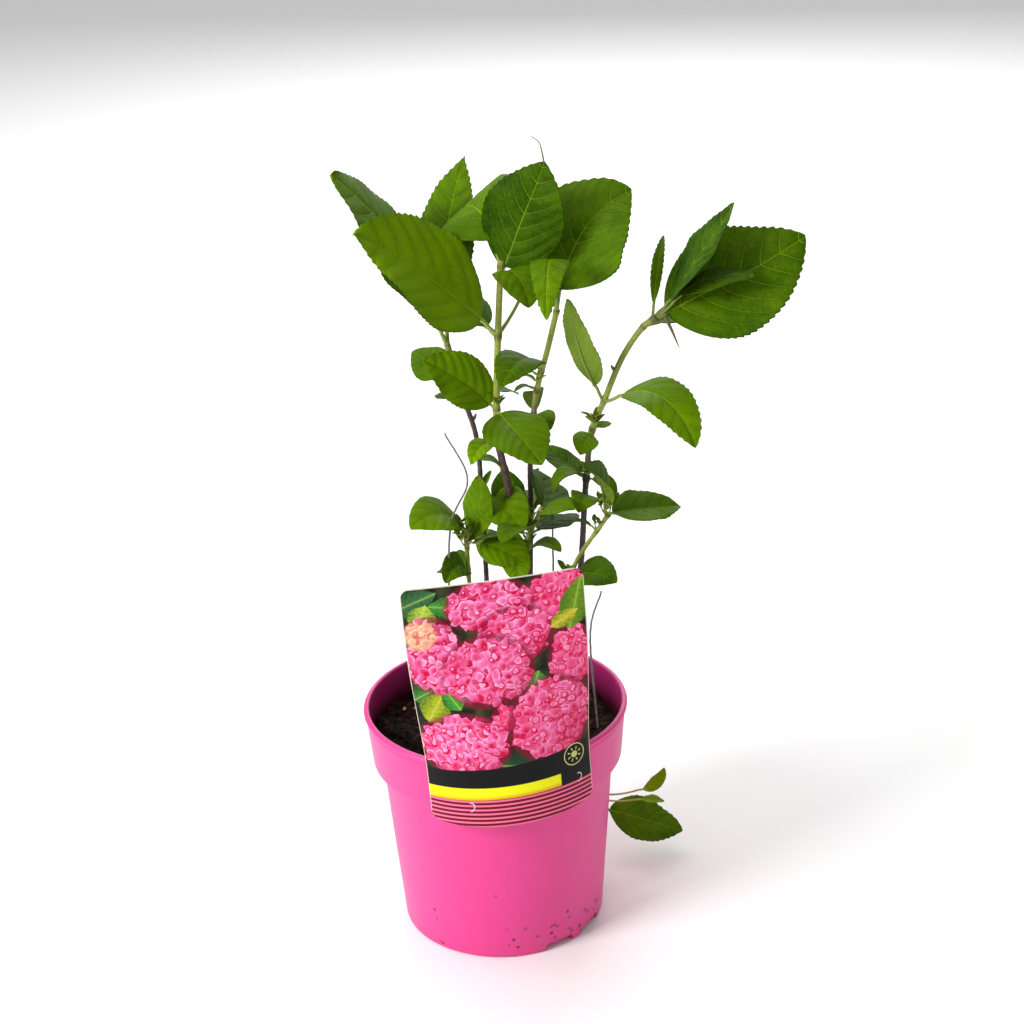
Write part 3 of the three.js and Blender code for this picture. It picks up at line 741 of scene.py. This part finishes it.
# ---- pieces ----
def grow_shoot(name, start, heading, climb, length, level, dice, blades, stalks):
    """A side shoot that bends up to the light, bears a pair of leaves and may fork again."""
    steps = 5
    line, here, aim = [start], np.array(start, float), math.radians(climb)
    for _ in range(steps):
        heading += dice.uniform(-8, 8)
        aim = min(math.radians(84), aim + math.radians(dice.uniform(0, 9)))
        turn = math.radians(heading)
        here = here + np.array([math.cos(turn) * math.cos(aim), math.sin(turn) * math.cos(aim),
                                math.sin(aim)]) * length / steps
        line.append(here)
    curve = smooth_curve(line, 6)
    thick = 0.35 + length / 28
    twig = tube_mesh(curve, lambda t: thick * (1.15 - 0.5 * t), 7, 10)
    give(twig, "tone", np.full(len(twig.vertices), 0.4))
    stalks.append(placed(name, twig, [STALK]))
    size = length * dice.uniform(0.9, 1.35)
    for k in range(2):
        row = (here[2], heading + 90 + 180 * k + dice.uniform(-20, 20), dice.uniform(38, 66), 0.8,
               size * dice.uniform(0.85, 1.1), size * dice.uniform(0.38, 0.52), dice.uniform(10, 50), 0,
               dice.uniform(30, 60), 0, dice.uniform(0.35, 0.75), 0.15)
        blade, stalk = leaf_parts(f"{name}_leaf_{k + 1}", curve, row, dice)
        blades.append(blade)
        stalks.append(stalk)
    if level > 1 and dice.random() < 0.6:
        grow_shoot(name + "_fork", here, heading + dice.choice([-40, 40]), climb + 15, length * 0.6,
                   level - 1, dice, blades, stalks)


def grow_shoots(spray, curve, heights, dice, blades, stalks):
    """Buds in the axils: at some of a spray's joints a pair of small shoots grows on from the limb."""
    for i, z in enumerate(sorted(set(heights))):
        if dice.random() > 0.6 or not 265 < z < 425:
            continue
        start, _ = at_height(curve, z)
        first = dice.uniform(0, 360)
        for k in range(2):
            if dice.random() < 0.75:
                grow_shoot(f"{spray}_shoot_{i + 1}_{k + 1}", start, first + 180 * k, dice.uniform(40, 62),
                           dice.uniform(5, 9.5), 2, dice, blades, stalks)


def build_trimmings():
    """Dried thread at a leaf's tip, a hanging spike and buds."""
    made = []
    tip = LEAF_TIPS["leaves_middle_head_3"]
    bends = ((0, 0, -1.0), (-1, 0, 6), (-3, 0, 13), (-8, 0, 17))
    thread = smooth_curve([tip + np.array(bend) for bend in bends], 8)
    made.append(tube_mesh(thread, lambda t: 0.62 - 0.35 * t, 8, 30))
    spike = smooth_curve([(124, -10, 460), (128, -14, 452), (133, -20, 440)], 8)
    made.append(tube_mesh(spike, lambda t: 1.3 * (1 - t) ** 0.7 + 0.15, 8, 24))
    for stem, z, heading, length in (("left", 390, 150, 7), ("left", 378, 20, 5), ("middle", 372, 60, 6),
                                     ("right", 420, 200, 5), ("centre", 360, 150, 5)):
        start, _ = at_height(smooth_curve(STEMS[stem][0]), z)
        turn = math.radians(heading)
        out = np.array([math.cos(turn), math.sin(turn), 0.9]) * length / 1.35
        bud = smooth_curve([start, start + out * 0.5, start + out + np.array([0, 0, 1.5])], 6)
        made.append(tube_mesh(bud, lambda t: 1.25 * (1 - t * t) ** 0.6 + 0.12, 8, 16))
    pieces = []
    for i, mesh in enumerate(made):
        points = points_of(mesh)
        give(mesh, "bark", np.stack([np.full(len(points), 0.75), np.full(len(points), 0.6),
                                     np.zeros(len(points))], 1))
        pieces.append(placed(f"trimming_{i + 1}", mesh, [BARK]))
    whole = joined("buds_and_dried_tips", pieces)
    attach(whole, "root")


def build_leaves():
    dice = random.Random(41)
    curves = {name: smooth_curve(data[0]) for name, data in STEMS.items()}
    blades, stalks = [], []
    for spray, (stem, rows) in SPRAYS.items():
        for i, row in enumerate(rows):
            blade, stalk = leaf_parts(f"{spray}_{i + 1}", curves[stem], row, dice)
            blades.append(blade)
            stalks.append(stalk)
        grow_shoots(spray, curves[stem], [row[0] for row in rows], dice, blades, stalks)
    groups = []
    current, size = [], 0
    for blade in blades:
        faces = len(blade.data.polygons) * 4
        if size + faces > FACES_PER_PIECE:
            groups.append(current)
            current, size = [], 0
        current.append(blade)
        size += faces
    groups.append(current)
    made = []
    for i, group in enumerate(groups):
        whole = joined(f"leaf_blades_{i + 1}", group)
        solid = whole.modifiers.new("thickness", "SOLIDIFY")
        solid.thickness = BLADE_THICKNESS * MM
        solid.offset = -1
        solid.material_offset = 1
        solid.use_rim = True
        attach(whole, "root")
        made.append(whole)
    stalk = joined("leaf_stalks", stalks)
    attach(stalk, "root")
    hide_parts(*SPRAYS)
    return made


def build_stems():
    made = []
    for name, (joints, foot, top, woody, warm) in STEMS.items():
        curve = smooth_curve(joints)
        heights = [row[0] for stem, rows in SPRAYS.values() if stem == name for row in rows]
        knots = [at_height(curve, z)[1] / (len(curve) - 1) for z in sorted(set(heights))]
        lengths = np.concatenate([[0], np.cumsum(np.linalg.norm(np.diff(curve, axis=0), axis=1))])
        places = [lengths[round(k * (len(curve) - 1))] / lengths[-1] for k in knots]
        whole = lengths[-1]

        def relief(share, angle, line, places=places, whole=whole, foot=foot, seed=len(name)):
            swell = sum(np.exp(-((share - p) * whole / 2.4) ** 2) for p in places) * 0.32 * foot ** 0.5
            ridge = 0.05 * np.sin(angle * 3 + share * whole * 0.05 + seed)
            rough = 0.07 * np.sin(share * whole * 0.9 + np.sin(angle * 2 + seed) * 2)
            return swell + ridge + rough * (line[:, 2] < 400)

        count = max(24, int(whole / 1.6))
        mesh = tube_mesh(curve, lambda t: foot + (top - foot) * t, 16, count, relief)
        points = points_of(mesh) / MM
        limb = np.zeros(len(mesh.vertices) * 3, np.float32)
        mesh.attributes["limb"].data.foreach_get("vector", limb)
        share = limb.reshape(-1, 3)[:, 0]
        wood = np.clip((woody + 12 - points[:, 2]) / 26, 0, 1)
        ring = np.clip(sum(np.exp(-((share - p) * whole / 1.1) ** 2) for p in places), 0, 1)
        give(mesh, "bark", np.stack([wood, np.full_like(wood, warm), ring], 1))
        made.append(placed(f"stem_{name}", mesh, [BARK]))
    whole = joined("stems", made)
    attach(whole, "root")
    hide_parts(*[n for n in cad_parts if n.startswith("stem_")])
    dry = []
    for name, joints in DRY_STALKS.items():
        curve = smooth_curve(joints)
        dry.append(placed(name, tube_mesh(curve, lambda t: 1.0 - 0.4 * t, 8, 80,
                                          lambda s, a, l: 0.08 * np.sin(s * 90 + a)), [DRY]))
    whole = joined("dry_stalks_all", dry)
    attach(whole, "root")
    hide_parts(*DRY_STALKS)


def spun(name, profile, steps, materials):
    """A turned body from a closed profile of (radius, height) in millimetres."""
    shape = bmesh.new()
    ring = [shape.verts.new((r * MM, 0, z * MM)) for r, z in profile]
    edges = [shape.edges.new((a, b)) for a, b in zip(ring, ring[1:])]
    bmesh.ops.spin(shape, geom=ring + edges, cent=(0, 0, 0), axis=(0, 0, 1), angle=2 * math.pi,
                   steps=steps, use_merge=True)
    bmesh.ops.remove_doubles(shape, verts=shape.verts, dist=1e-6)
    bmesh.ops.recalc_face_normals(shape, faces=shape.faces)
    mesh = bpy.data.meshes.new(name)
    shape.to_mesh(mesh)
    shape.free()
    return placed(name, mesh, materials)


def arc(cx, cz, r, start, end, count):
    return [(cx + r * math.cos(math.radians(a)), cz + r * math.sin(math.radians(a)))
            for a in np.linspace(start, end, count)]


def run(start, end, count):
    return [(start[0] + (end[0] - start[0]) * t, start[1] + (end[1] - start[1]) * t)
            for t in np.linspace(0, 1, count)]


def build_pot():
    shoulder = POT_HEIGHT - COLLAR_HEIGHT
    lip = POT_HEIGHT - LIP_HEIGHT
    floor = FOOT_HEIGHT
    profile = [
        (0.01, 0), (PAD_RADIUS - 0.8, 0),
        *arc(PAD_RADIUS - 0.6, 0.6, 0.6, -80, 0, 4),
        *run((PAD_RADIUS + 0.4, floor - 0.6), (20, floor), 4),
        *run((22, floor), (FOOT_RADIUS - FOOT_WIDTH - 1.6, floor), 4),
        *arc(FOOT_RADIUS - FOOT_WIDTH - 1.4, floor - 0.8, 0.8, 90, 0, 4),
        *run((FOOT_RADIUS - FOOT_WIDTH - 0.3, 3), (FOOT_RADIUS - FOOT_WIDTH, 0.3), 2),
        *run((FOOT_RADIUS - FOOT_WIDTH + 0.4, 0), (FOOT_RADIUS - 2.6, 0), 4),
        *arc(FOOT_RADIUS - 2.4, 2.4, 2.4, -80, 0, 7),
        *run((FOOT_RADIUS + 0.25, 5), (SHOULDER_RADIUS - 0.2, shoulder - SHOULDER_DROP - 2), 26),
        *arc(SHOULDER_RADIUS + 1.6, shoulder - SHOULDER_DROP - 1.2, 1.7, 175, 130, 4),
        *arc(COLLAR_RADIUS - 1.9, shoulder + 0.7, 1.9, -50, 0, 6),
        *run((COLLAR_RADIUS + 0.15, shoulder + 3), (RIM_RADIUS - 1.6, lip - 1.6), 14),
        *arc(RIM_RADIUS - 1.4, lip - 0.6, 0.7, 190, 120, 3),
        *arc(RIM_RADIUS - 2.0, POT_HEIGHT - 2.4, 2.0, -60, 90, 10),
        *arc(RIM_RADIUS - 2.6, POT_HEIGHT - 1.6, 1.6, 90, 180, 7),
        *run((RIM_RADIUS - LIP_WIDTH - 0.2, lip - 1), (COLLAR_RADIUS - WALL, shoulder + 1), 12),
        *run((SHOULDER_RADIUS - WALL, shoulder - SHOULDER_DROP), (FOOT_RADIUS - WALL, floor + 3), 16),
        (FOOT_RADIUS - WALL - 1.5, floor + 2.2),
        (0.01, floor + 2.2),
    ]
    pot = spun("pot_moulded", profile, 240, [POT])
    mesh = pot.data
    points = points_of(mesh)
    turn = np.degrees(np.arctan2(points[:, 1], points[:, 0])) % 360
    out = np.hypot(points[:, 0], points[:, 1]) / MM
    half = math.degrees(NOTCH_WIDTH / 2 / FOOT_RADIUS)
    foot_top = FOOT_HEIGHT - 1.2
    for centre in NOTCH_TURNS:
        cut = ((np.abs((turn - centre + 180) % 360 - 180) < half)
               & (out > FOOT_RADIUS - FOOT_WIDTH - 2) & (points[:, 2] < foot_top * MM))
        points[cut, 2] = foot_top * MM
    # The moulding is never quite round, and its wall is faintly uneven.
    ripple = 0.12 * np.sin(np.radians(turn * 3)) + 0.06 * np.sin(np.radians(turn * 7) + points[:, 2] * 60)
    scale = 1 + ripple * MM / np.maximum(out * MM, 1e-4)
    points[:, 0] *= scale
    points[:, 1] *= scale
    # A fine seam where the halves of the mould met, low at the front.
    seam = np.exp(-((turn - 277) / 0.8) ** 2) * (out > 60) * (points[:, 2] < 0.12)
    points[:, :2] *= (1 + seam * 0.25 / np.maximum(out, 1))[:, None]
    move_points(mesh, points)
    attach(pot, "root")
    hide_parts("pot")
    return pot


def soil_height(x, y):
    """Height of the compost in millimetres."""
    return (SOIL_TOP + 3 * (np.sin(x / 11) * np.cos(y / 13) + 0.5 * np.sin((x + y) / 6))
            + 0.9 * np.sin(x / 2.3 + 2 * np.sin(y / 3.1)) + 0.6 * np.sin(y / 1.7 + x / 2.9))


def build_soil():
    mesh = sheet_mesh(96, 260)
    flat = points_of(mesh)
    reach = COLLAR_RADIUS - WALL - 0.15
    r = flat[:, 0] * reach
    angle = flat[:, 1] * 2 * math.pi
    x, y = r * np.cos(angle), r * np.sin(angle)
    dice = np.random.default_rng(7)
    z = soil_height(x, y)
    for size, height in ((5.0, 0.9), (2.2, 0.7)):
        phase = dice.uniform(0, 6.28, (14, 3))
        z += height * sum(np.sin(x / size * math.cos(p[0]) + y / size * math.sin(p[0]) + p[1])
                          for p in phase) / 4
    move_points(mesh, np.stack([x, y, z], 1) * MM)
    closed(mesh, 2e-6)
    soil = placed("compost_surface", mesh, [SOIL])
    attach(soil, "root")
    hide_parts("compost")

    dice = random.Random(5)
    chips = []
    for i in range(620):
        r = reach * math.sqrt(dice.random()) * 0.97
        a = dice.uniform(0, 2 * math.pi)
        x, y = r * math.cos(a), r * math.sin(a)
        size = dice.choice([1.2, 1.6, 2.0, 2.6, 3.4, 5.0])
        shape = bmesh.new()
        bmesh.ops.create_cube(shape, size=1)
        bmesh.ops.subdivide_edges(shape, edges=shape.edges, cuts=1, use_grid_fill=True)
        for v in shape.verts:
            v.co = v.co.normalized() * 0.62 * dice.uniform(0.75, 1.2)
        girth = [size * dice.uniform(*part) for part in ((1, 1.9), (0.5, 0.9), (0.25, 0.5))]
        bmesh.ops.scale(shape, verts=shape.verts, vec=girth)
        tip_over = Matrix.Rotation(dice.uniform(-0.7, 0.7), 3, "X")
        spin = Matrix.Rotation(dice.uniform(0, 6.28), 3, "Z")
        bmesh.ops.rotate(shape, verts=shape.verts, matrix=tip_over @ spin)
        height = float(soil_height(x, y)) + dice.uniform(-0.3, 1.0)
        bmesh.ops.translate(shape, verts=shape.verts, vec=(x, y, height))
        bmesh.ops.scale(shape, verts=shape.verts, vec=(MM, MM, MM))
        mesh = bpy.data.meshes.new("chip")
        shape.to_mesh(mesh)
        shape.free()
        tint = dice.random()
        give(mesh, "chip", np.full(len(mesh.vertices), tint))
        chips.append(placed(f"chip_{i}", mesh, [CHIPS], smooth=False))
    whole = joined("bark_chips", chips)
    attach(whole, "root")


def card_place(u, v, depth):
    """Where a point of the label card is: u -1..1 across, v 0..1 up, depth out of its middle."""
    t = np.clip((v - 0.15) / 0.75, 0, 1)
    bend = (1 - t * t * (3 - 2 * t)) / 106 + 1 / 600
    corner = np.maximum(0, np.abs(u) * LABEL_WIDTH / 2 - LABEL_WIDTH / 2 + LABEL_CORNER)
    trim = LABEL_CORNER - np.sqrt(np.maximum(LABEL_CORNER ** 2 - corner ** 2, 0))
    low = trim + LABEL_BOW * u * u
    height = LABEL_HEIGHT - trim - low
    angle = u * LABEL_WIDTH / 2 * bend
    reach = 1 / bend + depth
    x = reach * np.sin(angle)
    y = LABEL_FRONT + 1 / bend - reach * np.cos(angle)
    up = low + v * height
    z = up - LABEL_HEIGHT / 2
    tilt, swing = math.radians(LABEL_TILT), math.radians(LABEL_TURN)
    across = x * math.cos(tilt) - z * math.sin(tilt)
    rise = z * math.cos(tilt) + x * math.sin(tilt)
    place = np.stack([LABEL_SHIFT + across * math.cos(swing), y + across * math.sin(swing),
                      LABEL_FOOT + LABEL_HEIGHT / 2 + rise], 1)
    return place, np.stack([u * LABEL_WIDTH / 2, up], 1)


def build_label():
    mesh = sheet_mesh(90, 90)
    flat = points_of(mesh)
    u = np.sin((flat[:, 0] - 0.5) * math.pi)
    place, card = card_place(u, flat[:, 1], 0.0)
    move_points(mesh, place * MM)
    give(mesh, "card", np.stack([card[:, 0], card[:, 1], np.zeros(len(card))], 1))
    label = placed("label_card_printed", mesh, [CARD, CARD_EDGE, CARD_EDGE])
    solid = label.modifiers.new("thickness", "SOLIDIFY")
    solid.thickness = 0.0006
    solid.offset = 0
    solid.material_offset = 1
    solid.material_offset_rim = 2
    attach(label, "root")
    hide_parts("label_card")


def card_paint():
    """The print on the card: blooms, leaves, a dark band, a yellow strip and a striped foot."""
    paint = Paint("card_print", 0.38)
    u, v, _ = paint.split(paint.attribute("card"))
    where = paint.gather(u, v, 0.0)
    mottle = paint.noise(where, 0.09, 3.0)
    fine = paint.noise(where, 0.5, 3.0)
    picture = paint.mix((mottle - 0.4) * 3.0, shade(10, 18, 10), shade(64, 70, 34))

    def oval(cx, cy, rx, ry, turn=0.0):
        """Place inside an oval, in its own radii."""
        ca, sa = math.cos(math.radians(turn)), math.sin(math.radians(turn))
        return ((u - cx) * (ca / rx) + (v - cy) * (sa / rx),
                (v - cy) * (ca / ry) - (u - cx) * (sa / ry))

    def leaf(under, cx, cy, rx, ry, turn, bright, dull):
        x, y = oval(cx, cy, rx, ry, turn)
        inside = (1 - x * x - abs(y) * (1.2 + 0.3 * x) + (fine - 0.5) * 0.25).above(0.0, 0.07)
        rib = abs(y).below(0.05, 0.05)
        side = abs(((x - abs(y) * 0.5) * 3.5).fraction() - 0.5).below(0.08, 0.08)
        tone = paint.mix(1 - abs(y) + (fine - 0.5) * 1.6 - side * 0.25, dull, bright)
        tone = paint.mix(rib * 0.35, tone, shade(200, 220, 110))
        return paint.mix(inside, under, tone)

    for spec in (
        (-52, 178, 16, 12, 20, shade(60, 112, 60), shade(20, 52, 34)),
        (-48, 167, 9, 12, 70, shade(176, 200, 70), shade(66, 110, 30)),
        (-31, 172, 13, 10, 170, shade(66, 150, 50), shade(18, 70, 30)),
        (-50, 108, 13, 10, 30, shade(70, 130, 50), shade(26, 60, 26)),
        (-46, 96, 14, 13, 60, shade(170, 176, 26), shade(66, 104, 24)),
        (-34, 103, 11, 9, 120, shade(74, 160, 52), shade(26, 84, 32)),
        (23, 108, 9, 12, 70, shade(70, 150, 60), shade(26, 80, 30)),
        (14, 45, 30, 13, 170, shade(34, 74, 42), shade(12, 34, 22)),
    ):
        picture = leaf(picture, *spec)

    # Petals, shared by all the heads: each a pale lobe with a hot pink foot.
    bent = paint.gather(u + (mottle - 0.5) * 5, v + (paint.noise(where, 0.12, 2.0) - 0.5) * 5, 0.0)
    petal = paint.node("ShaderNodeTexVoronoi", {"Vector": bent, "Scale": 0.19, "Randomness": 0.95},
                       out="all", feature="F1")
    gap = paint.cells(bent, 0.19, feature="DISTANCE_TO_EDGE", random_=0.95)
    tint = paint.split(petal["Color"])[0]
    centre_u, centre_v, _ = paint.split(petal["Position"])
    lit = (v - centre_v) * 0.13 - (u - centre_u) * 0.07
    cloud = paint.noise(where, 0.055, 2.0)
    # Each petal is ruffled: it pales outwards to a bright lip, then drops to the hot pink beneath.
    ruffle = (paint.noise(bent, 0.075, 1.0) * 3.4 + petal["Distance"] * 1.1 + tint * 1.3).fraction()
    level = 0.04 + ruffle * 0.86 + lit * 0.6 + (cloud - 0.5) * 0.9 + (fine - 0.5) * 0.3
    flower = paint.mix(level, shade(206, 0, 66), shade(255, 134, 200))
    lip = ruffle.above(0.8, 0.16) * cloud.above(0.42, 0.15)
    flower = paint.mix(lip * 0.6, flower, shade(255, 190, 222))
    flower = paint.mix(ruffle.below(0.12, 0.1) * 0.7, flower, shade(186, 0, 56))
    flower = paint.mix(gap.below(0.04, 0.04) * 0.3, flower, shade(206, 0, 74))

    def bloom(under, cx, cy, rx, ry, warm):
        """A round head of many small flowers, darker on its lower right."""
        x, y = oval(cx, cy, rx, ry)
        far = (x * x + y * y).root()
        ca, cb = (centre_u - cx) / rx, (centre_v - cy) / ry
        reach = (ca * ca + cb * cb).root() + (far - 0.95).most(0.0) * 0.6
        shadow = (x * 0.45 - y * 0.6 + far * 0.5 - 0.5).most(0.0)
        tone = paint.mix(shadow * 0.85, flower, shade(178, 0, 58))
        tone = paint.mix(warm, tone, shade(240, 24, 84))
        rim = paint.mix(far.below(1.0, 0.07) * 0.72, under, shade(128, 0, 44))
        return paint.mix(reach.below(0.93, 0.01), rim, tone)

    for spec in (
        (43, 168, 24, 23, 0.2),
        (-3, 170, 31, 20, 0.0),
        (50, 122, 17, 26, 0.25),
        (-46, 153, 17, 14, 0.0),
        (-42, 133, 21, 27, 0.0),
        (14, 147, 26, 21, 0.05),
        (-8, 121, 32, 28, 0.0),
        (1, 85, 10, 10, 0.5),
        (-30, 65, 34, 26, 0.0),
        (33, 77, 31, 34, 0.2),
    ):
        picture = bloom(picture, *spec)
    x, y = oval(-51, 153, 12, 12)
    cream = (1 - x * x - y * y + (fine - 0.5)).above(0.1, 0.25)
    picture = paint.mix(cream * 0.8, picture, paint.mix(level, shade(222, 120, 110), shade(250, 226, 160)))
    picture = leaf(picture, 54, 163, 20, 12, 75, shade(110, 146, 24), shade(60, 104, 20))
    picture = leaf(picture, 46, 153, 11, 7, 30, shade(206, 190, 50), shade(90, 120, 20))

    # Foot of the card: striped pink, a yellow strip and a dark band rising to the right.
    line = v - 22 - u * 0.005
    stripes = (v * 0.3).fraction().above(0.46, 0.05)
    foot = paint.mix(stripes, shade(236, 112, 146), shade(108, 2, 30))
    picture = paint.mix(line.below(0.0, 0.25), picture, foot)
    band_top = 23.5 + (u + 61) * (u + 61) * 0.00042
    band = line.above(0.0, 0.3) * (line - band_top).below(0.0, 0.5)
    picture = paint.mix(band, picture, shade(14, 13, 14))
    strip_top = 9.5
    strip = line.above(0.0, 0.3) * line.below(strip_top, 0.3) * u.below(36.0, 0.4)
    glow = paint.mix(line / 3.5, shade(226, 150, 30), shade(240, 240, 16))
    picture = paint.mix(strip, picture, glow)

    # A plain sun sign for the place the plant likes, in a ring.
    sx, sy = u - 47.5, (v - 43) * 0.95
    far = (sx * sx + sy * sy).root()
    ring = abs(far - 7.8).below(0.35, 0.15)
    sun = far.below(2.4, 0.2)
    swing = paint.node("ShaderNodeMath", [sy, sx], operation="ARCTAN2")
    rays = abs((swing * (8 / (2 * math.pi))).fraction() - 0.5).below(0.13, 0.04)
    rays = rays * far.above(3.4, 0.15) * far.below(5.4, 0.15)
    picture = paint.mix(ring.most(rays * 0.9).most(sun * 0.9), picture, shade(208, 214, 120))

    # Two little cut tongues that hold the card on the rim.
    for cx, cy in ((-29.0, 16.5), (49.5, 23.5)):
        x, y = oval(cx, cy, 2.6, 3.4, -20)
        far = (x * x + y * y).root()
        cut = abs(far - 1.0).below(0.13, 0.08) * (x + y * 0.5).above(-0.2, 0.2)
        picture = paint.mix(cut * 0.7, picture, shade(250, 226, 232))

    # A pale trimmed margin at the top and sides.
    side = abs(u).above(60.5, 0.2)
    picture = paint.mix(side.most(v.above(187.3, 0.2)) * 0.75, picture, shade(232, 224, 190))
    paint.set("Base Color", picture)
    paint.set("Roughness", 0.34 + fine * 0.12)
    paint.set("Specular IOR Level", 0.14)
    return paint


def edge_paint():
    paint = Paint("card_back", 0.6)
    speck = paint.noise(paint.place(), 700.0, 3.0)
    paint.set("Base Color", paint.mix(speck, shade(236, 228, 214), shade(214, 206, 190)))
    paint.bump(speck, 0.15, 0.0002)
    return paint


LEAF_TOP = leaf_paint("leaf_upper_face", False)
LEAF_UNDER = leaf_paint("leaf_under_face", True)
STALK = stalk_paint()
BARK = bark_paint()
DRY = dry_paint()
POT = pot_paint()
SOIL = soil_paint("compost", False)
CHIPS = soil_paint("bark_chip", True)
CARD = card_paint()
CARD_EDGE = edge_paint()

build_leaves()
build_stems()
build_trimmings()
build_pot()
build_soil()
build_label()


# ---- floor, light and camera ----
def build_stage():
    shape = bmesh.new()
    bmesh.ops.create_grid(shape, x_segments=1, y_segments=1, size=14)
    mesh = bpy.data.meshes.new("floor")
    shape.to_mesh(mesh)
    shape.free()
    white = Paint("floor_white", 0.9)
    white.set("Base Color", (0.98, 0.98, 0.98, 1))
    floor = placed("floor", mesh, [white], smooth=False)
    floor.location = (0, 0, -0.0002)
    bpy.context.scene.view_settings.view_transform = "Standard"
    world = bpy.context.scene.world or bpy.data.worlds.new("world")
    bpy.context.scene.world = world
    world.use_nodes = True
    world.node_tree.nodes["Background"].inputs["Color"].default_value = (1, 1, 1, 1)
    world.node_tree.nodes["Background"].inputs["Strength"].default_value = 0.48
    for name, place, size, power in (
        ("key", (-1.9, -1.2, 1.5), 1.0, 58),
        ("top", (-0.7, 0.7, 2.4), 2.2, 24),
        ("back", (0.4, 2.6, 1.6), 1.6, 30),
    ):
        data = bpy.data.lights.new(name, "AREA")
        data.energy = power
        data.size = size
        lamp = bpy.data.objects.new(name, data)
        bpy.context.scene.collection.objects.link(lamp)
        lamp.location = place
        lamp.rotation_euler = (Vector((0, 0, 0.3)) - Vector(place)).to_track_quat("-Z", "Y").to_euler()


def build_camera():
    """Looks down a little on the plant; the target is the middle of the pot."""
    distance, lift, roll = 1.634, math.radians(31.08), math.radians(2.68)
    target = Vector((0, 0, POT_HEIGHT * MM / 2))
    forward = Vector((0, math.cos(lift), -math.sin(lift)))
    right = Vector((1, 0, 0))
    up = right.cross(forward)
    data = bpy.data.cameras.new("camera")
    data.sensor_width = 36
    data.lens = 77.34
    camera = bpy.data.objects.new("camera", data)
    bpy.context.scene.collection.objects.link(camera)
    basis = Matrix((right, up, -forward)).transposed()
    # The pot stands low in the frame, a little left of the middle, and the frame is rolled a touch.
    aim = Vector((-12 / 2200, -290 / 2200, -1)).normalized()
    swing = aim.rotation_difference(Vector((0, 0, -1))).to_matrix()
    spin = Matrix.Rotation(roll, 3, aim)
    camera.matrix_world = (basis @ (swing @ spin)).to_4x4()
    camera.location = target - forward * distance
    data.clip_start = 0.05
    bpy.context.scene.camera = camera


build_stage()
build_camera()
